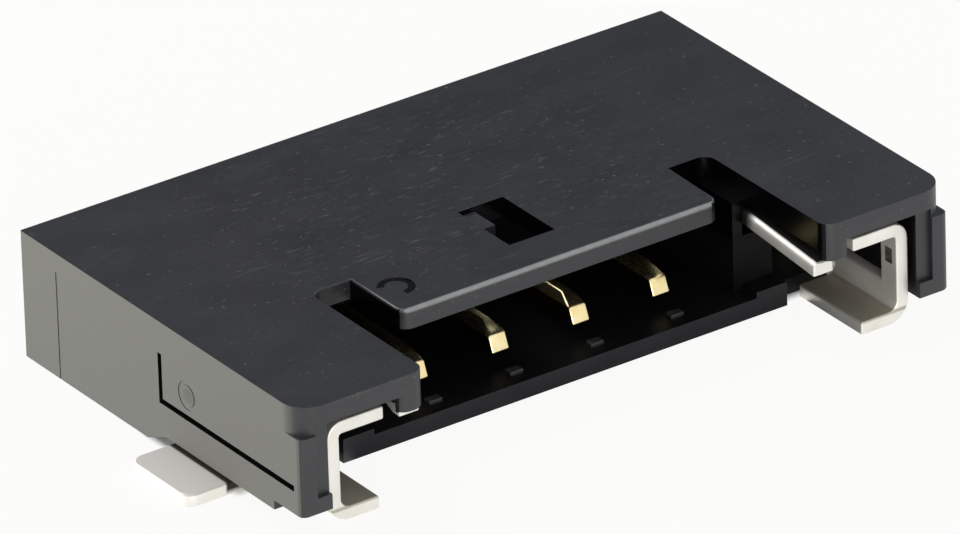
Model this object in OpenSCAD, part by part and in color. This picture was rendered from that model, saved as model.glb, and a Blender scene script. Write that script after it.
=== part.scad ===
// Low-profile right-angle board connector: a moulded housing, four blade terminals
// and two folded fitting nails. X runs along the contact row, Y from the open front
// to the rear, and the board is the plane Z = 0 under the middle of the whole part.

/* [Contacts] */
// Distance between neighbouring contacts
pitch = 1.5; // [1.2:0.1:2.2]
// Thickness of a terminal blade across the row
blade_t = 0.33; // [0.2:0.01:0.5]
// Height of a blade where it crosses the cavity
blade_h = 0.42; // [0.35:0.01:0.6]
// Height of a blade's blunt tip
tip_h = 0.27; // [0.15:0.01:0.34]
// Distance that the blunt tip leans back at its top
tip_lean = 0.11; // [0:0.01:0.15]
// Width of the narrowed upper edge of a blade
ridge_w = 0.16; // [0.08:0.01:0.2]
// Length over which the tip rises to the full blade
tip_taper = 0.4; // [0.2:0.05:0.8]
// Underside of the blade above the board
blade_z = 0.55; // [0.45:0.01:0.65]
// Distance of the blade tip behind the edge of the floor
tip_setback = 0.66; // [0.3:0.01:1.2]
// Width of the leg that comes down at the rear
tail_leg = 0.4; // [0.25:0.01:0.6]
// Thickness of the solder tail
tail_h = 0.22; // [0.12:0.01:0.35]
// Reach of the solder tail behind the housing
tail_reach = 0.6; // [0.3:0.05:1]

/* [Housing] */
// Overall height above the board
body_h = 2.2; // [2.1:0.05:2.8]
// Thickness of the roof and of the tongue
roof_t = 0.33; // [0.25:0.01:0.38]
// Thickness of the floor
floor_t = 0.31; // [0.2:0.01:0.38]
// Gap between the underside of the housing and the board
standoff = 0.03; // [0.01:0.01:0.08]
// Space from an outer contact to the side of the cavity
cavity_margin = 1.15; // [0.95:0.01:1.3]
// Thickness of the cavity's side walls
side_wall = 0.73; // [0.68:0.01:0.9]
// Width of the pocket that takes a fitting nail
pocket_w = 1.32; // [1.25:0.01:1.8]
// Thickness of the outer walls
outer_wall = 0.55; // [0.4:0.01:0.8]
// Reach of the arms ahead of the floor
arm_reach = 1.65; // [1.2:0.05:2.2]
// Depth of the cavity behind the edge of the floor
cavity_d = 3.75; // [3.4:0.05:5]
// Thickness of the block behind the cavity
back_wall = 2.1; // [1.6:0.05:3]
// Depth of a nail pocket behind the edge of the floor
pocket_d = 2.25; // [2.1:0.05:2.6]
// Gap between a solder tab and the wall above it
wall_gap = 0.03; // [0.02:0.01:0.1]
// Further gap under the front foot of the outer walls
foot_gap = 0.15; // [0.03:0.01:0.2]
// Length of that front foot
foot_l = 0.75; // [0.4:0.05:1.2]
// Length of the ramp under the outer walls behind the solder tabs
ramp_l = 0.55; // [0.3:0.05:0.8]

/* [Tongue and notches] */
// Half width of the tongue
tongue_half = 2.96; // [2.6:0.01:3.1]
// Distance of the tongue's edge behind the edge of the floor
tongue_back = 0.05; // [0:0.01:0.4]
// Length of the notches beside the tongue
notch_l = 1.37; // [0.8:0.01:1.8]
// Width of the notches beside the tongue
notch_w = 0.74; // [0.65:0.01:0.78]
// Width of the window in the tongue
window_w = 0.84; // [0.5:0.01:1.2]
// Length of the window in the tongue
window_l = 1.37; // [0.8:0.01:1.6]
// Distance of the window behind the tongue's edge
window_back = 0.79; // [0.5:0.01:1]
// Width of the step in the window's rear corner
step_w = 0.3; // [0.15:0.01:0.4]
// Length of the step in the window's rear corner
step_l = 0.57; // [0.3:0.01:0.7]
// Depth of the step below the roof
step_drop = 0.08; // [0.04:0.01:0.15]

/* [Floor] */
// Width of the raised end blocks of the floor
block_w = 0.57; // [0.4:0.01:0.7]
// Height of the raised end blocks of the floor
block_h = 0.1; // [0.05:0.01:0.16]
// Length of the raised end blocks
block_l = 0.38; // [0.1:0.01:0.5]
// Width of the guide ribs under the contacts
guide_w = 0.24; // [0.15:0.01:0.4]
// Length of the guide ribs
guide_l = 0.16; // [0.1:0.01:0.3]
// Height of the guide ribs
guide_h = 0.06; // [0.04:0.01:0.1]

/* [Arm ribs] */
// Width of the rib under the inner edge of an arm
rib_w = 0.5; // [0.4:0.01:0.55]
// Depth of that rib below the roof
rib_h = 0.15; // [0.08:0.01:0.15]
// Further depth of the lip at the front of the rib
lip_h = 0.15; // [0.05:0.01:0.16]
// Thickness of that lip
lip_t = 0.13; // [0.08:0.01:0.16]

/* [Fitting nails] */
// Thickness of the sheet
sheet_t = 0.22; // [0.15:0.01:0.25]
// Distance of the nail behind the front of the arms
nail_back = 0.2; // [0.18:0.01:0.4]
// Gap between the nail and the outer wall
nail_gap = 0.07; // [0.03:0.01:0.12]
// Drop of the nail's top below the top of the housing
nail_drop = 0.5; // [0.46:0.01:0.54]
// Width of the nail's top arm
arm_w = 1.03; // [0.8:0.01:1.08]
// Width of the nail's foot plate
plate_w = 0.9; // [0.6:0.01:1.1]
// Length of the nail's foot plate
plate_l = 1.62; // [1:0.01:1.7]
// Outer radius of the upper bend
top_bend = 0.28; // [0.26:0.01:0.5]
// Outer radius of the bend at the foot plate
low_bend = 0.38; // [0.32:0.01:0.5]
// Outer radius of the bend at the solder tab
tab_bend = 0.3; // [0.28:0.01:0.5]
// Width of the strap at the front of the nail's leg
strap_l = 0.42; // [0.3:0.01:0.8]
// Height of the rail along the bottom of the leg
rail_h = 0.58; // [0.5:0.01:0.8]
// Width of the solder tab
tab_l = 1.55; // [1:0.01:1.6]
// Reach of the solder tab outside the housing
tab_reach = 0.8; // [0.5:0.05:1.2]
// Width of the spring tine
tine_w = 0.32; // [0.2:0.01:0.4]
// Thickness of the web between the cavity and the root of the tine
web_t = 0.18; // [0.12:0.01:0.2]
// Width of the flared tip of a tine
tip_w = 0.37; // [0.3:0.01:0.42]
// Length of that flared tip
tip_l = 0.18; // [0.1:0.01:0.3]
// Length over which the tine widens to its tip
flare_l = 0.56; // [0.3:0.01:0.7]
// Drop of the right tine from its root to its tip
tine_drop = 0.2; // [0.05:0.01:0.22]
// How much higher the left tine's tip is set than the right one's
left_lift = 0.13; // [0:0.01:0.15]
// How much further out the left tine's tip is set than the right one's
left_out = 0.1; // [0:0.01:0.12]
// Depth of the nail's root in the rear of its pocket
root_l = 0.8; // [0.4:0.05:1.1]
// Distance from the foot plate to the solder tab
tab_gap = 0.12; // [0.05:0.01:0.2]
// Width of the bridge that carries the tine
bridge_l = 0.45; // [0.3:0.01:0.6]
// Distance of that bridge behind the edge of the floor
bridge_back = 0.75; // [0.5:0.01:0.9]
// Depth of the dimple in the strap
dimple_d = 0.03; // [0.02:0.01:0.1]
// Height of that dimple
dimple_h = 0.26; // [0.1:0.01:0.4]
// Distance of that dimple from the edges of the strap
dimple_edge = 0.12; // [0.08:0.01:0.14]
// Clearance round metal seated in the moulding
seat_gap = 0.02; // [0.01:0.01:0.03]

/* [Edges and marks] */
// Radius of the upper outer corners of the arms
corner_r = 0.45; // [0.2:0.01:0.5]
// Height of those rounded corners
corner_h = 0.48; // [0.35:0.01:0.8]
// Radius of the outer corners below them
foot_r = 0.12; // [0.05:0.01:0.2]
// Radius of the tongue's and arms' inner corners
inner_r = 0.22; // [0.1:0.01:0.3]
// Depth of the shallow marks in the moulding
mark_depth = 0.02; // [0.02:0.01:0.06]
// Line width of the shallow marks
mark_w = 0.06; // [0.04:0.01:0.1]
// Radius of the round marks
mark_r = 0.24; // [0.15:0.01:0.28]
// Width of the slits in the outer walls
slit_w = 0.1; // [0.06:0.01:0.15]
// Depth of the slits in the outer walls
slit_d = 0.3; // [0.1:0.01:0.35]
// Distance of the slits behind the front of the arms
slit_back = 0.2; // [0.14:0.01:0.4]
// Height of the level slit above the board
slit_z = 0.79; // [0.75:0.01:1]
// Height of the upright slit
slit_h = 0.86; // [0.5:0.01:0.9]
// Distance from the rear to the parting lines on the sides
parting_back = 1; // [0.8:0.05:1.2]
// Distance from the slits to the ring on the outer walls
ring_back = 0.77; // [0.5:0.01:0.9]
// Radius of the open ring on the tongue
tongue_ring_r = 0.3; // [0.2:0.01:0.35]
// Line width of that ring
tongue_ring_w = 0.12; // [0.04:0.01:0.15]
// Distance from the tongue's side to the middle of that ring
tongue_ring_in = 0.42; // [0.38:0.01:0.6]
// Distance from the tongue's edge to the middle of that ring
tongue_ring_back = 0.75; // [0.4:0.01:1]
// Width of the step in the front end of the outer walls
recess_w = 0.25; // [0.1:0.01:0.28]
// Depth of that step
recess_d = 0.09; // [0.04:0.01:0.15]
// Height of that step above the foot of the wall
recess_up = 0.26; // [0.1:0.01:0.5]

/* [Hidden] */
$fn = 48;
// Overrun that carries each cut clear of the face it opens
cut = 0.5;
// Overlap that joins one solid to the next
lap = 0.1;
// Steps of a bend
arc_steps = 6;

// Number of the last contact, counted from zero
last_contact = 3;

// Places across the row, from the middle outwards
row_span = last_contact * pitch;
cavity_half = row_span / 2 + cavity_margin;
pocket_in = cavity_half + side_wall;
pocket_out = pocket_in + pocket_w;
body_half = pocket_out + outer_wall;
notch_out = tongue_half + notch_w;
rib_out = notch_out + rib_w;
nail_out = pocket_out - nail_gap;
nail_in = nail_out - sheet_t;
arm_in = nail_out - arm_w;
plate_in = nail_out - plate_w;
tab_out = body_half + tab_reach;
tine_in = cavity_half + web_t + seat_gap;
block_in = pocket_in - block_w;

// Places from the front of the arms backwards
tongue_y = arm_reach + tongue_back;
notch_y = tongue_y + notch_l;
window_y = tongue_y + window_back;
window_end = window_y + window_l;
block_end = arm_reach + block_l;
cavity_y = arm_reach + cavity_d;
pocket_y = arm_reach + pocket_d;
body_d = cavity_y + back_wall;
tip_y = arm_reach + tip_setback;
leg_y = body_d - tail_leg;
overall_d = body_d + tail_reach;
strap_end = nail_back + strap_l;
plate_end = nail_back + plate_l;
tab_y = plate_end + tab_gap;
tab_end = tab_y + tab_l;
bridge_y = arm_reach + bridge_back;
bridge_end = bridge_y + bridge_l;
root_end = pocket_y + root_l;
ramp_end = pocket_y + ramp_l / 2;
slit_y = pocket_y - slit_w;
ring_y = slit_y - ring_back;

// Heights above the board. The outer walls clear the bend of the solder tab
bend_in = tab_bend - sheet_t;
bend_z = tab_bend - sqrt(max(0, pow(bend_in, 2) - pow(nail_in + tab_bend - pocket_out, 2)));
wall_z = bend_z + wall_gap;
foot_z = wall_z + foot_gap;
corner_z = body_h - corner_h;
floor_z = standoff + floor_t;
block_z = floor_z + block_h;
blade_top = blade_z + blade_h;
roof_z = body_h - roof_t;
rib_z = roof_z - rib_h;
nail_top = body_h - nail_drop;
arm_z = nail_top - sheet_t;
tine_z = arm_z - tine_drop;
root_z = rail_h - sheet_t / 2;
root_top = arm_z - sheet_t / 2;

function arc(centre, radius, from, to) = [
    for (i = [0:arc_steps])
        let (angle = from + (to - from) * i / arc_steps)
            centre + radius * [cos(angle), sin(angle)]
];

// Moves the part so that the middle of its footprint is the origin
module in_place() {
    translate([0, -overall_d / 2, 0]) children();
}

// Moves something drawn in the middle to the place of one contact
module at_contact(index) {
    translate([(index - last_contact / 2) * pitch, 0, 0]) children();
}

// Extrudes an outline drawn in X and Z from y0 back to y1
module along_y(y0, y1) {
    translate([0, y1, 0]) rotate([90, 0, 0]) linear_extrude(y1 - y0) children();
}

// Extrudes an outline drawn in Y and Z from x0 to x1
module along_x(x0, x1) {
    translate([x0, 0, 0]) rotate([90, 0, 90]) linear_extrude(x1 - x0) children();
}

// Extrudes a plan outline from z0 up to z1
module along_z(z0, z1) {
    translate([0, 0, z0]) linear_extrude(z1 - z0) children();
}

module box(low, high) {
    translate(low) cube(high - low);
}

module rect(low, high) {
    translate(low) square(high - low);
}

module both_sides() {
    children();
    mirror([1, 0, 0]) children();
}

// Rectangle with all four corners rounded
module round_rect(low, high, radius) {
    inner_low = low + [radius, radius];
    inner_high = high - [radius, radius];
    rect([inner_low.x, low.y], [inner_high.x, high.y]);
    rect([low.x, inner_low.y], [high.x, inner_high.y]);
    for (x = [inner_low.x, inner_high.x])
        for (y = [inner_low.y, inner_high.y])
            translate([x, y]) circle(radius);
}

// Roof in plan: two arms that reach forward, and the tongue between its two notches
module roof_plan() {
    difference() {
        rect([-notch_out, notch_y - inner_r], [notch_out, body_d]);
        both_sides() round_rect([0, tongue_y], [notch_out, notch_y], inner_r);
    }
    round_rect([-tongue_half, tongue_y], [tongue_half, body_d], inner_r);
    both_sides() {
        round_rect([notch_out, 0], [body_half, body_d], inner_r);
        rect([notch_out + inner_r, 0], [body_half, body_d]);
        rect([notch_out, notch_y], [body_half, body_d]);
    }
}

// Walls in plan: the outer walls, the cavity's side walls and the block behind it
module wall_plan() {
    difference() {
        rect([-body_half, 0], [body_half, body_d]);
        rect([-cavity_half, -cut], [cavity_half, cavity_y]);
        rect([-pocket_in, -cut], [pocket_in, block_end]);
        both_sides() rect([pocket_in, -cut], [pocket_out, pocket_y]);
    }
}

// Walls up to the roof, with a step in the front end of each outer wall
module walls() {
    difference() {
        along_z(standoff, roof_z) wall_plan();
        both_sides()
            box([pocket_out - cut, -cut, foot_z + recess_up], [pocket_out + recess_w, recess_d, body_h]);
    }
}

// Rib under the inner edge of an arm, with a deeper lip at its front
module arm_rib() {
    along_z(rib_z, roof_z + lap) {
        round_rect([notch_out, 0], [rib_out, block_end], inner_r);
        rect([notch_out, inner_r], [rib_out, block_end + lap]);
    }
    along_z(rib_z - lip_h, rib_z + lap)
        intersection() {
            round_rect([notch_out, 0], [rib_out, block_end], inner_r);
            rect([notch_out, 0], [rib_out, lip_t]);
        }
}

// Low rib on the floor ahead of a contact
module guide_rib() {
    middle = arm_reach + tip_setback / 2;
    box([-guide_w / 2, middle - guide_l / 2, floor_z - guide_h],
        [guide_w / 2, middle + guide_l / 2, floor_z + guide_h]);
}

// Slot for a blade through the rear block, open to the rear round its leg
module terminal_slot() {
    half = blade_t / 2 + seat_gap;
    box([-half, cavity_y - cut, blade_z - seat_gap], [half, body_d + cut, blade_top + seat_gap]);
    box([-half, leg_y - seat_gap, -cut], [half, body_d + cut, blade_top]);
}

// Room for a fitting nail: under the outer wall, across the side wall and behind the pocket
module nail_room() {
    along_x(pocket_out - cut, body_half + cut)
        polygon([[-cut, -cut], [ramp_end, -cut], [ramp_end, standoff], [ramp_end - ramp_l, wall_z],
            [-cut, wall_z]]);
    box([pocket_out - cut, -cut, -cut], [body_half + cut, foot_l, foot_z]);
    box([tine_in - seat_gap, arm_reach, tine_z - seat_gap],
        [pocket_in + cut, bridge_end + seat_gap, nail_top + seat_gap]);
    box([nail_in - seat_gap, pocket_y - cut, root_z - seat_gap],
        [nail_out + seat_gap, root_end + seat_gap, root_top + seat_gap]);
}

// Slit, ring and parting line on an outer wall
module side_marks() {
    along_x(body_half - slit_d, body_half + cut) {
        rect([slit_back, slit_z], [slit_y, slit_z + slit_w]);
        rect([slit_y - slit_w, slit_z], [slit_y, slit_z + slit_h]);
    }
    along_x(body_half - mark_depth, body_half + cut) {
        translate([ring_y, slit_z + slit_h / 2])
            difference() {
                circle(mark_r);
                circle(mark_r - mark_w);
            }
        rect([body_d - parting_back, standoff - cut], [body_d - parting_back + mark_w, roof_z]);
    }
}

// Waste outside a rounded upright corner at the front of an arm
module corner_waste(radius, z0, z1) {
    centre = [body_half - radius, radius];
    along_z(z0, z1)
        difference() {
            rect([centre.x, -cut], [body_half + cut, centre.y]);
            translate(centre) circle(radius);
        }
}

// Window in the tongue, with a sunk step in its rear left corner
module tongue_window() {
    half = window_w / 2;
    along_z(roof_z - cut, body_h + cut)
        difference() {
            rect([-half, window_y], [half, window_end]);
            rect([-half, window_end - step_l], [step_w - half, window_end]);
        }
    box([-half, window_y, body_h - step_drop], [half, window_end, body_h + cut]);
}

// Shallow open ring near the tongue's left front corner
module tongue_mark() {
    away = 2 * tongue_ring_r;
    translate([tongue_ring_in - tongue_half, tongue_y + tongue_ring_back])
        along_z(body_h - mark_depth, body_h + cut)
            difference() {
                circle(tongue_ring_r);
                circle(tongue_ring_r - tongue_ring_w);
                polygon([[0, 0], [-away, tongue_ring_r], [-away, -away], [0, -away]]);
            }
}

module housing() {
    color([0.2, 0.2, 0.21])
        in_place()
            difference() {
                union() {
                    along_z(roof_z, body_h) roof_plan();
                    walls();
                    box([-pocket_in, arm_reach, standoff], [pocket_in, cavity_y + cut, floor_z]);
                    both_sides() {
                        box([block_in, arm_reach, standoff], [pocket_in, block_end + cut, block_z]);
                        arm_rib();
                    }
                    for (i = [0:last_contact]) at_contact(i) guide_rib();
                }
                for (i = [0:last_contact]) at_contact(i) terminal_slot();
                both_sides() {
                    nail_room();
                    side_marks();
                    corner_waste(corner_r, corner_z, body_h + cut);
                    corner_waste(foot_r, -cut, corner_z);
                }
                tongue_window();
                tongue_mark();
            }
}

// Side view of a stamped blade: tip, beam through the rear block, leg and solder tail
module blade_profile() {
    polygon([
        [tip_y, blade_z], [leg_y, blade_z], [leg_y, 0], [overall_d, 0], [overall_d, tail_h],
        [body_d, tail_h], [body_d, blade_top], [tip_y + tip_taper, blade_top],
        [tip_y + tip_lean, blade_z + tip_h]]);
}

// Section of a blade, with its upper edges coined to a narrow ridge
module blade_section() {
    polygon([
        [-blade_t / 2, 0], [blade_t / 2, 0], [blade_t / 2, blade_z + tip_h], [ridge_w / 2, blade_top],
        [-ridge_w / 2, blade_top], [-blade_t / 2, blade_z + tip_h]]);
}

module terminal(index) {
    color([0.85, 0.68, 0.32])
        in_place()
            at_contact(index)
                intersection() {
                    along_x(-blade_t / 2, blade_t / 2) blade_profile();
                    along_y(tip_y, overall_d) blade_section();
                }
}

// Section of the nail's front: top arm, leg and foot plate folded from one strip
module nail_section() {
    polygon(concat(
        [[plate_in, 0]],
        arc([nail_out - low_bend, low_bend], low_bend, -90, 0),
        arc([nail_out - top_bend, nail_top - top_bend], top_bend, 0, 90),
        [[arm_in, nail_top], [arm_in, arm_z]],
        arc([nail_out - top_bend, nail_top - top_bend], top_bend - sheet_t, 90, 0),
        arc([nail_out - low_bend, low_bend], low_bend - sheet_t, 0, -90),
        [[plate_in, sheet_t]]));
}

// Section of the solder tab: the leg's rail folded outwards along the board
module tab_section() {
    centre = [nail_in + tab_bend, tab_bend];
    polygon(concat(
        [[nail_in, rail_h]],
        arc(centre, tab_bend, 180, 270),
        [[tab_out, 0], [tab_out, sheet_t]],
        arc(centre, tab_bend - sheet_t, 270, 180),
        [[nail_out, rail_h]]));
}

// Tine that runs forward from the bridge, down to a flared tip
module spring_tine(lift, out) {
    tip_in = tine_in + out;
    intersection() {
        along_x(tine_in - cut, tine_in + cut)
            polygon([[nail_back, tine_z + lift], [bridge_y, arm_z], [bridge_end, arm_z],
                [bridge_end, nail_top], [bridge_y, nail_top], [nail_back, tine_z + lift + sheet_t]]);
        along_z(tine_z - cut, nail_top + cut)
            polygon([[tip_in, nail_back], [tip_in + tip_w, nail_back],
                [tip_in + tip_w, nail_back + tip_l], [tine_in + tine_w, nail_back + tip_l + flare_l],
                [tine_in + tine_w, bridge_end], [tine_in, bridge_end]]);
    }
}

module fitting_nail(lift, out) {
    color([0.86, 0.85, 0.8])
        in_place()
            union() {
                difference() {
                    along_y(nail_back, bridge_end) nail_section();
                    // The foot plate ends ahead of the solder tab
                    box([plate_in - cut, plate_end, -cut], [nail_out + cut, bridge_end + cut, low_bend]);
                    // Dimple in the inner side of the strap
                    box([nail_in - cut, nail_back + dimple_edge, arm_z - 2 * dimple_h],
                        [nail_in + dimple_d, strap_end - dimple_edge, arm_z - dimple_h]);
                    // Window in the leg behind the front strap
                    box([nail_in - cut, strap_end, rail_h],
                        [nail_out + cut, bridge_end + cut, nail_top - top_bend]);
                }
                box([nail_in, plate_end - sheet_t, low_bend], [nail_out, tab_end, rail_h]);
                box([nail_in, tab_end - sheet_t, root_z], [nail_out, root_end, root_top]);
                intersection() {
                    along_y(tab_y, tab_end) tab_section();
                    along_z(-cut, rail_h + cut)
                        round_rect([nail_in - cut, tab_y], [tab_out, tab_end], sheet_t);
                }
                box([tine_in, bridge_y, arm_z], [nail_out - top_bend, bridge_end, nail_top]);
                spring_tine(lift, out);
            }
}

housing();
terminal(0);  // terminal_1
terminal(1);  // terminal_2
terminal(2);  // terminal_3
terminal(3);  // terminal_4
mirror([1, 0, 0]) fitting_nail(left_lift, left_out);  // fitting_nail_left
fitting_nail(0, 0);  // fitting_nail_right
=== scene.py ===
"""Looks of a low right-angle board connector: moulded housing, blade contacts, folded nails."""
import math

import bmesh
import bpy
from mathutils import Matrix, Vector


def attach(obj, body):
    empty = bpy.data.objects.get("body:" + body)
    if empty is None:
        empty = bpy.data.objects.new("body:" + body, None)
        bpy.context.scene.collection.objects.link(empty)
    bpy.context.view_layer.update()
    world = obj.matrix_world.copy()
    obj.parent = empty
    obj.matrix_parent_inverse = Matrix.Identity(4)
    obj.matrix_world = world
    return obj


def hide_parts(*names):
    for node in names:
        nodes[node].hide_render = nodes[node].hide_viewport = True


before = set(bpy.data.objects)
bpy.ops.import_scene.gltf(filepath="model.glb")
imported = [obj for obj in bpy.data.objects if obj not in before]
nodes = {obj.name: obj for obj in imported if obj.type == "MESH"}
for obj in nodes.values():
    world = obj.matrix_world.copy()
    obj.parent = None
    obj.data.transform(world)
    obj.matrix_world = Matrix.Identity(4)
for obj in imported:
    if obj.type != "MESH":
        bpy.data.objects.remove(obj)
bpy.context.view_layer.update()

MM = 0.001
BODY = "root"

# Places and lengths are in millimetres in the part's frame. Two places that differ by less than
# SAME are one place, and a face within CLOSE of a bound still counts as inside it.
SAME = 0.001
CLOSE = 0.01

# Breaks put on the edges of each kind of piece, and the steps that round each of them
MOULDING_BREAK = 0.014
STAMPING_BREAK = 0.03
CONTACT_BREAK = 0.035
BREAK_STEPS = 5
ROUND = 0.5
# The upper inner edge of a nail's tine is rolled over by the die, the tongue's outline by plugs
TINE_ROLL = 0.09
TONGUE_ROLL = 0.05
# Faces that turn by less than this are joined into one
FLAT_ANGLE = math.radians(0.5)
# An edge turns sharply enough to be broken from this angle on
BREAK_ANGLE = math.radians(28)
# The finished shape shades as sharp from this angle on, which is more than a step of a break
SHARP_ANGLE = math.radians(40)
# A face has to be this many breaks wide beside an edge that is broken, and a lone edge this long
ROOM_FOR_BREAK = 2.4
# An edge carries on in the next one if the two turn by less than this
RUN_ON = math.cos(math.radians(25))
# How far a unit normal has to point along an axis: to face that way, to lean that way, to be flat
FACING = 0.9
FACING_FRONT = 0.7
LEANING = 0.5
FLAT = 0.99

# The moulding: edge of the mouth's floor, back of the cavity, sides of the pockets, and heights
FLOOR_EDGE = -2.4
CAVITY_BACK = 1.35
POCKET_IN = 4.13
POCKET_OUT = 5.45
BODY_HALF = 6.0
STANDOFF = 0.03
HALF_HEIGHT = 1.1
ROOF_UNDERSIDE = 1.87
TOP = 2.2
# The tongue: its upper front edge, half its width, and the rear end of its rolled outline
TONGUE_FRONT = -2.35
TONGUE_HALF = 2.96
TONGUE_REAR = -0.95
# The window in the tongue, the top of the step in it, and where an edge is clear of it
WINDOW_HALF = 0.42
WINDOW_FRONT = -1.56
WINDOW_REAR = -0.19
STEP_TOP = 2.12
BESIDE_WINDOW = 1.0
AHEAD_OF_WINDOW = WINDOW_FRONT - 0.1
# The guide ribs on the floor: their heights, and how far across and back they reach
GUIDE_FOOT = 0.34
GUIDE_TOP = 0.4
GUIDE_HALF = 2.5
GUIDE_REAR = -1.95
# The ledge under an arm's rounded outer corner: its height, and where it lies across and along
LEDGE_TOP = 1.72
LEDGE_IN = 5.5
LEDGE_REAR = -3.5
# The slits in the outer walls: their floor, heights, middle and half length; a face that lies
# less than WALL_SKIN inside the outside belongs to the wall
SLIT_FLOOR = 5.7
SLIT_LOW = 0.78
SLIT_HIGH = 1.7
SLIT_MIDDLE = -2.0
SLIT_REACH = 1.9
WALL_SKIN = 0.05
# The ring and the parting line are worn shallower than they are cut, both depths from the outside
MARK_CUT = 0.02
MARK_WORN = 0.01
# The middle of the smudge that the ring's pin left, dark and polished
SMUDGE_Y = -1.04
SMUDGE_Z = 1.24
# The floor of a pocket behind the foot plate: across, along and up, from and to
POCKET_FLOOR = ((4.1, 5.1), (-2.1, -0.12), (0.03, 0.3))

# A nail's dimple in its strap: across, along and up, from and to
DIMPLE = ((5.161, 5.195), (-3.74, -3.54), (0.95, 1.23))
# The inner edge of its tine lies inside this and ahead of the root, in lengths of at least this
TINE_INNER = 3.78
TINE_ROOT = -1.1
TINE_EDGE_LENGTH = 0.3
# The front of the bridge that carries the tine
BRIDGE_FRONT = -1.65
# The top of the sheet where it lies on the board, and the middle of the solder tab across
SHEET_TOP = 0.22
TAB_MIDDLE = 6.45

# Soft boxes: name, direction seen from the part, distance, width, height, power and colour.
# The side strip lies below the top, so that it lights the walls alone.
LAMPS = (
    ("side_strip", (-0.72, 0.68, 0.0), 100, 70, 1.9, 0.185, (1.0, 0.98, 0.85)),
    ("top_fill", (-0.3, 0.4, 1.0), 90, 80, 80, 0.04, (0.97, 0.98, 1.0)),
    ("tine_light", (0.0, 0.73, 0.68), 90, 30, 30, 0.005, (1.0, 0.99, 0.95)),
    ("front", (-0.35, -1.0, 0.15), 90, 40, 40, 0.032, (1.0, 0.97, 0.88)),
    ("rear_fill", (1.0, 0.3, 0.4), 90, 80, 80, 0.02, (0.88, 0.94, 1.0)),
)
# Dark cards that the part reflects: name, middle, direction they face, width and length
CARDS = (
    ("upper_card", (76, 58.5, 52), (-0.5, -0.73, -0.5), 122, 180),
    # The mouth card is painted shadow: a dark sheet on the paper before the mouth, standing for
    # the shadow the part casts there, seen only in reflections
    ("mouth_shadow_card", (0.3, -3.1, -0.004), (0, 0, 1), 8.4, 1.4),
)
SKY_COLOR = (0.8, 0.88, 1.0, 1)
SKY_STRENGTH = 0.4
WHITE = (1, 1, 1, 1)
# The paper under the part: half its side in metres, its drop below the board plane, its colour,
# the white that is seen, and how much of that is shown in the open and inside a pocket
PAPER_HALF_M = 0.6
PAPER_DROP = 0.01
PAPER = (0.9, 0.9, 0.89, 1)
PAPER_SEEN = (0.985, 0.985, 0.97, 1)
SHOWN_IN_OPEN = 0.95
SHOWN_IN_POCKET = 0.1
FELT = (0.02, 0.02, 0.022, 1)
CLOTH_ROUGH = 0.9

# The camera fitted to the photograph's straight edges: its axes in the part's frame, the middle of
# the part's front edge in the camera's axes, and its focal length in pixels of the photograph
CAMERA_RIGHT = Vector((0.818477, -0.573834, -0.028444))
CAMERA_UP = Vector((0.286837, 0.365225, 0.885627))
CAMERA_BACK = Vector((-0.497815, -0.733024, 0.463526))
FRONT_EDGE_SEEN = (2.27982, -2.40656, -231.40938)
HALF_DEPTH = 4.05
FOCAL_PX = 15307.2
PHOTO_WIDTH_PX = 960
SENSOR_WIDTH = 36
NEAR_CLIP_M = 0.01
FAR_CLIP_M = 10


def reach_from_edge(edge, face):
    """How far a face reaches away from one of its edges."""
    start = edge.verts[0].co
    along = (edge.verts[1].co - start).normalized()
    reach = 0.0
    for vert in face.verts:
        away = vert.co - start
        reach = max(reach, (away - along * away.dot(along)).length)
    return reach


def runs_on(edge, others):
    """Whether one of the other edges carries an edge on past one of its ends."""
    along = (edge.verts[1].co - edge.verts[0].co).normalized()
    for vert in edge.verts:
        for other in vert.link_edges:
            if other is edge or other not in others:
                continue
            next_along = (other.verts[1].co - other.verts[0].co).normalized()
            if abs(along.dot(next_along)) > RUN_ON:
                return True
    return False


def edges_to_break(mesh, width):
    """Outer sharp edges with room for the break on both of their faces."""
    sharp = set()
    for edge in mesh.edges:
        if len(edge.link_faces) != 2 or not edge.is_convex:
            continue
        if edge.calc_face_angle(0.0) < BREAK_ANGLE:
            continue
        room = min(reach_from_edge(edge, face) for face in edge.link_faces)
        if room >= ROOM_FOR_BREAK * width:
            sharp.add(edge)
    return [edge for edge in sharp
            if edge.calc_length() >= ROOM_FOR_BREAK * width or runs_on(edge, sharp)]


def ends_mm(edge):
    return [vert.co / MM for vert in edge.verts]


def on_the_tine(edge):
    """Whether an edge is the upper inner edge of a nail's tine."""
    ends = ends_mm(edge)
    return (any(face.normal.z > FACING for face in edge.link_faces)
            and abs(ends[0].y - ends[1].y) > TINE_EDGE_LENGTH
            and all(abs(end.x) < TINE_INNER and end.y < TINE_ROOT for end in ends))


def on_the_tongue(edge):
    """Whether an edge is part of the tongue's upper outline."""
    return all(end.z > TOP - SAME and end.y < TONGUE_REAR and abs(end.x) < TONGUE_HALF + CLOSE
               and (abs(end.x) > BESIDE_WINDOW or end.y < AHEAD_OF_WINDOW)
               for end in ends_mm(edge))


def outer_outline(edge):
    """Whether an edge bounds the top of a side or the ledge under an arm's outer corner."""
    ends = ends_mm(edge)
    if all(end.z > TOP - SAME and abs(end.x) > LEDGE_IN for end in ends):
        return True
    return all(abs(end.z - LEDGE_TOP) < SAME and abs(end.x) > LEDGE_IN and end.y < LEDGE_REAR
               for end in ends)


def any_edge(_edge):
    """Every edge of a contact is broken, beside its flanks too."""
    return True


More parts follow.
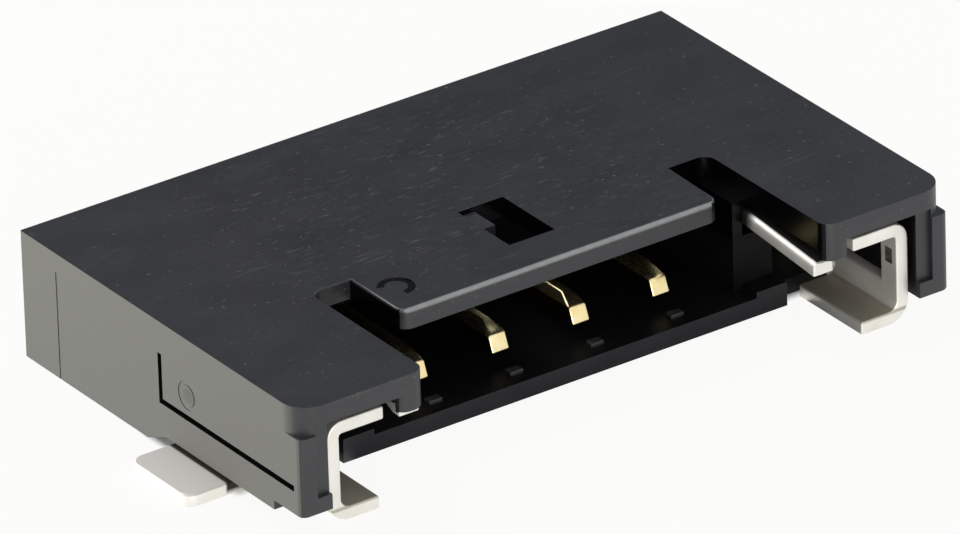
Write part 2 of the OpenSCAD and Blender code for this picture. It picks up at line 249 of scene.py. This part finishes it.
def in_the_mouth(middle, normal):
    """Whether a face of the moulding lies inside the mouth, a pocket, the window or a slit, where
    shade is painted into its colour.
    """
    across, back, up = abs(middle.x), middle.y, middle.z
    if normal.y < -FACING_FRONT and back < TONGUE_FRONT + CLOSE:
        return False
    if SLIT_FLOOR - CLOSE < across < BODY_HALF - WALL_SKIN and SLIT_LOW < up < SLIT_HIGH:
        return abs(back - SLIT_MIDDLE) < SLIT_REACH
    if up > TOP - SAME or up < STANDOFF + SAME or across > POCKET_OUT + CLOSE:
        return False
    if across > POCKET_IN - CLOSE:
        return up < ROOF_UNDERSIDE + SAME
    if (across < WINDOW_HALF + CLOSE and WINDOW_FRONT - CLOSE < back < WINDOW_REAR + CLOSE
            and up > ROOF_UNDERSIDE):
        return abs(up - STEP_TOP) > SAME
    # Of the notches' rear walls only the right one gets the painted shade
    if up > ROOF_UNDERSIDE and normal.y < -LEANING:
        return middle.x > 0
    if GUIDE_FOOT + SAME < up < GUIDE_TOP + SAME and across < GUIDE_HALF and back < GUIDE_REAR:
        return False
    if back > FLOOR_EDGE - SAME:
        return back < CAVITY_BACK + SAME
    return normal.x * middle.x < 0


def in_the_dimple(middle, _normal):
    """Whether a face of a nail lies inside the dimple in its strap."""
    places = (abs(middle.x), middle.y, middle.z)
    return all(low < place < high for place, (low, high) in zip(places, DIMPLE))


def on_tine_top(middle, normal):
    """Whether a face of a nail is the flat top of its tine."""
    return (abs(middle.x) < POCKET_IN and middle.y < BRIDGE_FRONT and middle.z > HALF_HEIGHT
            and normal.z > FLAT)


def on_a_flank(_middle, normal):
    """Whether a face of a contact is one of the two the punch cut."""
    return abs(normal.x) > FACING


def wear_marks(mesh):
    """Raises the floors of the ring and the parting line on the outer walls."""
    for vert in mesh.verts:
        if abs(abs(vert.co.x) / MM - (BODY_HALF - MARK_CUT)) < SAME:
            vert.co.x = math.copysign((BODY_HALF - MARK_WORN) * MM, vert.co.x)


def floor_pockets(mesh):
    """Closes both pockets towards the board behind the nails' foot plates."""
    across, along, up = POCKET_FLOOR
    size = [high - low for low, high in POCKET_FLOOR]
    for side in (-1, 1):
        middle = Vector((side * sum(across), sum(along), sum(up))) / 2
        bmesh.ops.create_cube(mesh, size=MM, matrix=Matrix.Translation(middle * MM)
                              @ Matrix.Diagonal((*size, 1)))


def finish_moulding(mesh):
    """What the housing has beyond its solid."""
    wear_marks(mesh)
    floor_pockets(mesh)


def softened(node, name, width_mm, finish, inner, is_inner, roll, rolled,
             left=None, change=None, late=None):
    """Stands for a CAD node with a copy of its shape whose outer edges are softly broken.

    Faces that is_inner picks out take the inner finish and keep their edges, edges that rolled
    picks out get the wider roll, and edges that left picks out stay sharp. The shape is changed
    first. Faces that late picks out take the inner finish too, with their edges broken."""
    width = width_mm * MM
    widest = max(width, roll * MM)
    mesh = bmesh.new()
    mesh.from_mesh(nodes[node].data)
    bmesh.ops.remove_doubles(mesh, verts=mesh.verts, dist=SAME * MM)
    bmesh.ops.dissolve_limit(mesh, angle_limit=FLAT_ANGLE, verts=mesh.verts,
                             edges=mesh.edges, use_dissolve_boundaries=False)
    if change:
        change(mesh)
    mesh.normal_update()
    for face in mesh.faces:
        face.material_index = int(is_inner(face.calc_center_median() / MM, face.normal))
    weight = mesh.edges.layers.float.new("bevel_weight_edge")
    for edge in edges_to_break(mesh, width):
        if rolled(edge):
            edge[weight] = 1.0
        elif any(face.material_index for face in edge.link_faces) or (left and left(edge)):
            continue
        else:
            edge[weight] = width / widest
    shape = bpy.data.meshes.new(name)
    mesh.to_mesh(shape)
    mesh.free()
    old_normals = shape.attributes.get("custom_normal")
    if old_normals:
        shape.attributes.remove(old_normals)
    piece = bpy.data.objects.new(name, shape)
    bpy.context.scene.collection.objects.link(piece)
    broken = piece.modifiers.new("broken_edges", "BEVEL")
    broken.limit_method = "WEIGHT"
    broken.width = widest
    broken.segments = BREAK_STEPS
    broken.profile = ROUND
    broken.material = 0
    broken.use_clamp_overlap = False
    broken.face_strength_mode = "FSTR_ALL"
    made = piece.evaluated_get(bpy.context.evaluated_depsgraph_get())
    shape = bpy.data.meshes.new_from_object(made)
    if late:
        for face in shape.polygons:
            if late(face.center / MM, face.normal):
                face.material_index = 1
    piece.modifiers.remove(broken)
    piece.data = shape
    shape.name = name
    shape.shade_smooth()
    shape.set_sharp_from_angle(angle=SHARP_ANGLE)
    even = piece.modifiers.new("even_shading", "WEIGHTED_NORMAL")
    even.use_face_influence = True
    even.keep_sharp = True
    shape.materials.append(finish)
    shape.materials.append(inner)
    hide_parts(node)
    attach(piece, BODY)


def grey(level):
    return (level, level, level, 1)


class Finish:
    """A node material with short calls for its nodes and links."""

    def __init__(self, name):
        self.material = bpy.data.materials.new(name)
        self.material.use_nodes = True
        self.tree = self.material.node_tree
        self.shader = self.tree.nodes["Principled BSDF"]
        self.place = self.node("ShaderNodeTexCoord").outputs["Object"]

    def node(self, kind, **settings):
        made = self.tree.nodes.new(kind)
        for key, value in settings.items():
            setattr(made, key, value)
        return made

    def link(self, start, end):
        self.tree.links.new(start, end)

    def put(self, value, socket):
        """Links a socket to another node's output, or gives it a plain value."""
        if hasattr(value, "is_output"):
            self.link(value, socket)
        else:
            socket.default_value = value

    def mapped(self, scale, turn):
        mapping = self.node("ShaderNodeMapping")
        mapping.inputs["Scale"].default_value = scale
        mapping.inputs["Rotation"].default_value = [math.radians(angle) for angle in turn]
        self.link(self.place, mapping.inputs["Vector"])
        return mapping.outputs["Vector"]

    def noise(self, scale, detail, rough=0.55, turn=(0, 0, 0)):
        """Noise whose features are 1/scale long; scale is per millimetre, one for each axis."""
        texture = self.node("ShaderNodeTexNoise")
        per_metre = [along / MM for along in scale]
        self.link(self.mapped(per_metre, turn), texture.inputs["Vector"])
        texture.inputs["Scale"].default_value = 1.0
        texture.inputs["Detail"].default_value = detail
        texture.inputs["Roughness"].default_value = rough
        return texture.outputs["Fac"]

    def ramp(self, value, low, high, first=(0, 0, 0, 1), last=(1, 1, 1, 1)):
        """Goes from the first colour to the last while a value goes from low to high."""
        ramp = self.node("ShaderNodeValToRGB")
        ramp.color_ramp.elements[0].position = low
        ramp.color_ramp.elements[0].color = first
        ramp.color_ramp.elements[1].position = high
        ramp.color_ramp.elements[1].color = last
        self.link(value, ramp.inputs["Fac"])
        return ramp.outputs["Color"]

    def span(self, value, low, high):
        """Takes a value from 0..1 to low..high."""
        span = self.node("ShaderNodeMapRange")
        span.inputs["To Min"].default_value = low
        span.inputs["To Max"].default_value = high
        self.link(value, span.inputs["Value"])
        return span.outputs["Result"]

    def blend(self, factor, first, last, mode="MIX"):
        mix = self.node("ShaderNodeMix", data_type="RGBA", blend_type=mode)
        self.put(factor, mix.inputs["Factor"])
        self.put(first, mix.inputs["A"])
        self.put(last, mix.inputs["B"])
        return mix.outputs["Result"]

    def either(self, first, second):
        """The greater of two masks."""
        return self.blend(1.0, first, second, mode="LIGHTEN")

    def times(self, first, second):
        product = self.node("ShaderNodeMath", operation="MULTIPLY")
        self.put(first, product.inputs[0])
        self.put(second, product.inputs[1])
        return product.outputs[0]

    def near(self, axis, place_mm, reach_mm, full_mm):
        """One up to the full distance from a place along an axis, zero from the reach on."""
        split = self.node("ShaderNodeSeparateXYZ")
        self.link(self.place, split.inputs["Vector"])
        away = self.node("ShaderNodeMath", operation="SUBTRACT")
        self.link(split.outputs[axis], away.inputs[0])
        away.inputs[1].default_value = place_mm * MM
        size = self.node("ShaderNodeMath", operation="ABSOLUTE")
        self.link(away.outputs[0], size.inputs[0])
        fade = self.node("ShaderNodeMapRange")
        fade.inputs["From Min"].default_value = full_mm * MM
        fade.inputs["From Max"].default_value = reach_mm * MM
        fade.inputs["To Min"].default_value = 1.0
        fade.inputs["To Max"].default_value = 0.0
        self.link(size.outputs[0], fade.inputs["Value"])
        return fade.outputs["Result"]

    def sides(self, place_mm, reach_mm, full_mm):
        """One near a place to the left of the middle and to the right of it."""
        return self.either(self.near("X", -place_mm, reach_mm, full_mm),
                           self.near("X", place_mm, reach_mm, full_mm))

    def bump(self, height, depth_mm, strength, below=None):
        bump = self.node("ShaderNodeBump")
        bump.inputs["Strength"].default_value = strength
        bump.inputs["Distance"].default_value = depth_mm * MM
        self.link(height, bump.inputs["Height"])
        if below is not None:
            self.link(below, bump.inputs["Normal"])
        return bump.outputs["Normal"]

    def constant(self, name, value):
        self.shader.inputs[name].default_value = value

    def wear(self, color, rough, normal=None):
        """Puts colour, roughness and relief on the shader and gives the material."""
        self.put(color, self.shader.inputs["Base Color"])
        self.put(rough, self.shader.inputs["Roughness"])
        if normal is not None:
            self.link(normal, self.shader.inputs["Normal"])
        return self.material


def moulded_plastic():
    """Black glass-filled moulding: cloudy skin, fine grain, faint flow lines and pale specks."""
    f = Finish("black_moulding")
    cloud = f.noise((0.9, 1.3, 1.3), detail=6, rough=0.6)
    flow = f.noise((0.7, 6.0, 6.0), detail=5, turn=(0, 0, 24))
    grain = f.noise((24, 24, 24), detail=3)
    color = f.ramp(cloud, 0.3, 0.72, (0.013, 0.0135, 0.017, 1), (0.018, 0.0185, 0.0225, 1))
    color = f.blend(f.ramp(flow, 0.56, 0.76), color, (0.022, 0.0225, 0.0265, 1))
    rough = f.span(cloud, 0.4, 0.5)
    # Fine scratches and specks on the top, more of them where plugs rub round the window
    upper = f.near("Z", TOP, 0.3, 0.05)
    scratch = f.ramp(f.noise((1.0, 26, 26), detail=2, turn=(0, 0, 40)), 0.67, 0.75)
    color = f.blend(f.times(upper, scratch), color, (0.06, 0.06, 0.063, 1))
    rubbed = f.times(f.near("X", -0.5, 4.5, 2.5), f.near("Y", 0.6, 3.2, 1.6))
    rub = f.ramp(f.noise((3.0, 16, 16), detail=3, turn=(0, 0, 66)), 0.6, 0.75)
    color = f.blend(f.times(rubbed, rub), color, (0.08, 0.08, 0.083, 1))
    speck = f.ramp(f.noise((10, 10, 10), detail=2), 0.66, 0.74)
    color = f.blend(f.times(upper, speck), color, grey(0.1))
    # A painted highlight on the tongue's front edge and, fainter, on its left flank
    front = f.times(f.near("Y", TONGUE_FRONT, 0.08, 0.04),
                    f.near("X", 0, TONGUE_HALF, TONGUE_HALF - 0.1))
    flank = f.times(f.near("X", -TONGUE_HALF, 0.06, 0.02), f.near("Y", -2.1, 0.9, 0.2))
    painted_rim_highlight = f.times(f.either(front, f.times(0.6, flank)), f.near("Z", TOP, 0.07, 0.03))
    painted_rim_highlight = f.times(painted_rim_highlight, f.span(f.noise((7, 7, 7), detail=2), 0.6, 1.0))
    color = f.blend(painted_rim_highlight, color, (0.35, 0.35, 0.34, 1))
    # The top is smoother and the outer walls are rougher than the rest
    rough = f.blend(f.near("Z", TOP, 0.02, 0.005), rough, f.span(cloud, 0.36, 0.44))
    outer_wall = f.times(f.sides(BODY_HALF, 0.06, 0.03), f.near("Z", 1.0, 1.195, 1.18))
    color = f.blend(outer_wall, color, (0.024, 0.024, 0.0235, 1))
    rough = f.blend(outer_wall, rough, grey(0.65))
    smudge = f.times(f.near("Y", SMUDGE_Y, 0.24, 0.08), f.near("Z", SMUDGE_Z, 0.24, 0.08))
    smudge = f.times(smudge, f.span(f.noise((5, 5, 5), detail=2), 0.4, 1.0))
    smudge = f.times(outer_wall, smudge)
    color = f.blend(smudge, color, grey(0.008))
    rough = f.blend(smudge, rough, grey(0.35))
    skin = f.bump(grain, 0.005, 0.4)
    skin = f.bump(flow, 0.006, 0.2, below=skin)
    f.constant("Specular IOR Level", 0.7)
    return f.wear(color, rough, skin)


def moulded_with_painted_shade():
    """The same moulding where polished cores made it, smooth and a little cloudy; its deep black
    is painted shade.
    """
    f = Finish("black_moulding_painted_shade")
    cloud = f.noise((1.2, 1.2, 1.2), detail=5)
    grain = f.noise((20, 20, 20), detail=2)
    color = f.ramp(cloud, 0.3, 0.72, (0.004, 0.004, 0.0045, 1), (0.007, 0.007, 0.0078, 1))
    # Painted shade, darker still, on the walls of the notches and of the window
    cut = f.either(f.sides(3.4, 0.6, 0.5), f.near("X", 0, 0.6, 0.5))
    cut = f.times(cut, f.near("Z", 1.9, 0.8, 0.6))
    color = f.blend(cut, color, (0.0012, 0.0012, 0.0014, 1))
    rough = f.blend(cut, f.span(cloud, 0.3, 0.4), grey(0.23))
    f.constant("Specular IOR Level", 0.15)
    return f.wear(color, rough, f.bump(grain, 0.003, 0.3))


def tin_plate():
    """Matt tin over stamped strip, drawn along the sheet, a little dull from handling."""
    f = Finish("tin_plated_strip")
    drawn = f.noise((3, 45, 45), detail=4)
    dull = f.noise((2.0, 2.0, 2.0), detail=5)
    color = f.ramp(dull, 0.3, 0.75, (0.82, 0.79, 0.72, 1), (0.92, 0.905, 0.865, 1))
    # The tine's root is painted dark, a painted shade where the arm covers it
    root = f.times(f.near("Y", -1.3, 1.0, 0.8), f.near("Z", 1.6, 0.25, 0.2))
    color = f.blend(root, color, (0.05, 0.048, 0.045, 1))
    # The foot plate is painted darker, a painted shade for the pocket it lies in, and the solder
    # tab is paler and rougher
    upper_face = f.near("Z", SHEET_TOP, 0.04, 0.02)
    color = f.blend(upper_face, color, (0.5, 0.46, 0.38, 1))
    tab = f.times(upper_face, f.sides(TAB_MIDDLE, 0.5, 0.45))
    color = f.blend(tab, color, (0.64, 0.62, 0.59, 1))
    rough = f.blend(tab, f.span(dull, 0.45, 0.55), grey(0.8))
    # Painted shade on the tab where it goes under the outer wall
    under = f.times(f.sides(5.8, 0.29, 0.25), f.near("Z", SHEET_TOP, 0.2, 0.12))
    color = f.blend(under, color, (0.03, 0.027, 0.022, 1))
    f.constant("Metallic", 0.75)
    return f.wear(color, rough, f.bump(drawn, 0.003, 0.35))


def dull_tin_with_painted_shade():
    """The stamped dimple's floor, where the tin is dull, and the tine's top, painted dark for the
    shade that falls on it.
    """
    f = Finish("dull_tin_with_painted_shade")
    stain = f.noise((9, 9, 9), detail=3)
    color = f.ramp(stain, 0.35, 0.65, (0.05, 0.047, 0.04, 1), (0.16, 0.15, 0.13, 1))
    # Painted shade on the tine's top
    color = f.blend(f.sides(3.8, 0.5, 0.4), color, (0.012, 0.0115, 0.011, 1))
    f.constant("Metallic", 0.5)
    return f.wear(color, 0.6)


def gold_color(f):
    """A patchy gold, and the patches, which are thin where it is palest."""
    thin = f.noise((3, 3, 3), detail=3)
    return thin, f.ramp(thin, 0.35, 0.7, (0.9, 0.74, 0.38, 1), (0.97, 0.86, 0.52, 1))


def gold_plate():
    """Thin gold over a stamped contact, drawn along the blade."""
    f = Finish("gold_plated_contact")
    thin, color = gold_color(f)
    drawn = f.noise((40, 5, 40), detail=3)
    f.constant("Metallic", 1.0)
    return f.wear(color, f.span(thin, 0.22, 0.3), f.bump(drawn, 0.003, 0.3))


def contact_flank_with_painted_shade():
    """The flanks that the punch cut: dark along the blade, which is painted shade inside the
    mouth, and gold again on the tail.
    """
    f = Finish("contact_flank_painted_shade")
    color = gold_color(f)[1]
    # Painted shade along the blade inside the mouth
    color = f.blend(f.near("Y", -1.0, 2.5, 2.3), color, (0.07, 0.05, 0.02, 1))
    f.constant("Metallic", 1.0)
    return f.wear(color, 0.35)


def seen_rays(tree):
    """One for rays from the camera and for rays off gloss or through glass, else zero."""
    rays = tree.nodes.new("ShaderNodeLightPath")
    either = rays.outputs["Is Camera Ray"]
    for name in ("Is Glossy Ray", "Is Transmission Ray"):
        both = tree.nodes.new("ShaderNodeMath")
        both.operation = "MAXIMUM"
        tree.links.new(either, both.inputs[0])
        tree.links.new(rays.outputs[name], both.inputs[1])
        either = both.outputs[0]
    return either


def seen_white(f, color, share):
    """Shows a plain white to the camera and in reflections, over the finish that takes shadows."""
    glow = f.node("ShaderNodeEmission")
    glow.inputs["Color"].default_value = color
    mix = f.node("ShaderNodeMixShader")
    f.link(f.times(seen_rays(f.tree), share), mix.inputs["Fac"])
    f.link(f.shader.outputs[0], mix.inputs[1])
    f.link(glow.outputs[0], mix.inputs[2])
    f.link(mix.outputs[0], f.tree.nodes["Material Output"].inputs["Surface"])


def make_sheet(name, size, matrix, finish):
    """A flat square with the given matrix, size from its middle to its sides."""
    shape = bpy.data.meshes.new(name)
    mesh = bmesh.new()
    bmesh.ops.create_grid(mesh, x_segments=1, y_segments=1, size=size, matrix=matrix)
    mesh.to_mesh(shape)
    mesh.free()
    shape.materials.append(finish)
    sheet = bpy.data.objects.new(name, shape)
    bpy.context.scene.collection.objects.link(sheet)
    return sheet


def make_floor():
    """White paper that shows its shadows inside the pockets."""
    paper = Finish("white_paper")
    in_a_pocket = paper.times(paper.sides(5.0, 1.0, 0.85), paper.near("Y", -0.9, 1.35, 1.15))
    seen_white(paper, PAPER_SEEN, paper.span(in_a_pocket, SHOWN_IN_OPEN, SHOWN_IN_POCKET))
    floor = make_sheet("floor", PAPER_HALF_M, Matrix.Translation((0, 0, -PAPER_DROP * MM)),
                       paper.wear(PAPER, CLOTH_ROUGH))


def make_world():
    """A pale sky that lights the part, seen and reflected as plain white."""
    world = bpy.data.worlds.new("studio")
    world.use_nodes = True
    tree = world.node_tree
    light = tree.nodes["Background"]
    light.inputs["Color"].default_value = SKY_COLOR
    light.inputs["Strength"].default_value = SKY_STRENGTH
    white = tree.nodes.new("ShaderNodeBackground")
    white.inputs["Color"].default_value = WHITE
    mix = tree.nodes.new("ShaderNodeMixShader")
    tree.links.new(seen_rays(tree), mix.inputs["Fac"])
    tree.links.new(light.outputs[0], mix.inputs[1])
    tree.links.new(white.outputs[0], mix.inputs[2])
    tree.links.new(mix.outputs[0], tree.nodes["World Output"].inputs["Surface"])
    bpy.context.scene.world = world


def make_card(name, middle_mm, facing, width_mm, length_mm, finish):
    """Card that is seen only in reflections on the part."""
    turned = Vector(facing).to_track_quat("Z", "Y").to_matrix().to_4x4()
    sized = Matrix.Diagonal((width_mm * MM, length_mm * MM, 1, 1))
    placed = Matrix.Translation(Vector(middle_mm) * MM)
    card = make_sheet(name, 0.5, placed @ turned @ sized, finish)
    card.visible_camera = False
    card.visible_diffuse = False
    card.visible_shadow = False


def make_lamp(name, towards, away_mm, width_mm, height_mm, power, color):
    """A soft box that shines on the middle of the part from one direction."""
    lamp = bpy.data.lights.new(name, "AREA")
    lamp.shape = "RECTANGLE"
    lamp.size = width_mm * MM
    lamp.size_y = height_mm * MM
    lamp.energy = power
    lamp.color = color
    holder = bpy.data.objects.new(name, lamp)
    direction = Vector(towards).normalized()
    holder.location = direction * away_mm * MM + Vector((0, 0, HALF_HEIGHT * MM))
    holder.rotation_euler = direction.to_track_quat("Z", "Y").to_euler()
    holder.visible_camera = False
    bpy.context.scene.collection.objects.link(holder)


def make_camera():
    """Long lens at the photograph's viewing angle."""
    across, up, back = FRONT_EDGE_SEEN
    place = -(CAMERA_RIGHT * across + CAMERA_UP * up + CAMERA_BACK * back) * MM
    place.y -= HALF_DEPTH * MM
    lens = bpy.data.cameras.new("camera")
    lens.sensor_width = SENSOR_WIDTH
    lens.lens = FOCAL_PX / PHOTO_WIDTH_PX * SENSOR_WIDTH
    lens.clip_start = NEAR_CLIP_M
    lens.clip_end = FAR_CLIP_M
    camera = bpy.data.objects.new("camera", lens)
    turned = Matrix((CAMERA_RIGHT, CAMERA_UP, CAMERA_BACK)).transposed().to_4x4()
    camera.matrix_world = Matrix.Translation(place) @ turned
    bpy.context.scene.collection.objects.link(camera)
    bpy.context.scene.camera = camera


tin = tin_plate()
dull_and_shaded_tin = dull_tin_with_painted_shade()
gold = gold_plate()
shaded_flanks = contact_flank_with_painted_shade()

softened("housing", "moulded_housing", MOULDING_BREAK, moulded_plastic(),
         moulded_with_painted_shade(), in_the_mouth, TONGUE_ROLL, on_the_tongue,
         left=outer_outline, change=finish_moulding)
for number in (1, 2, 3, 4):
    softened(f"terminal_{number}", f"blade_contact_{number}", CONTACT_BREAK, gold,
             shaded_flanks, on_a_flank, CONTACT_BREAK, any_edge)
for side in ("left", "right"):
    softened(f"fitting_nail_{side}", f"folded_nail_{side}", STAMPING_BREAK, tin,
             dull_and_shaded_tin, in_the_dimple, TINE_ROLL, on_the_tine, late=on_tine_top)

make_floor()
make_world()
felt = Finish("dark_felt").wear(FELT, CLOTH_ROUGH)
for card in CARDS:
    make_card(*card, felt)
for lamp in LAMPS:
    make_lamp(*lamp)
make_camera()
bpy.context.scene.view_settings.view_transform = "Standard"
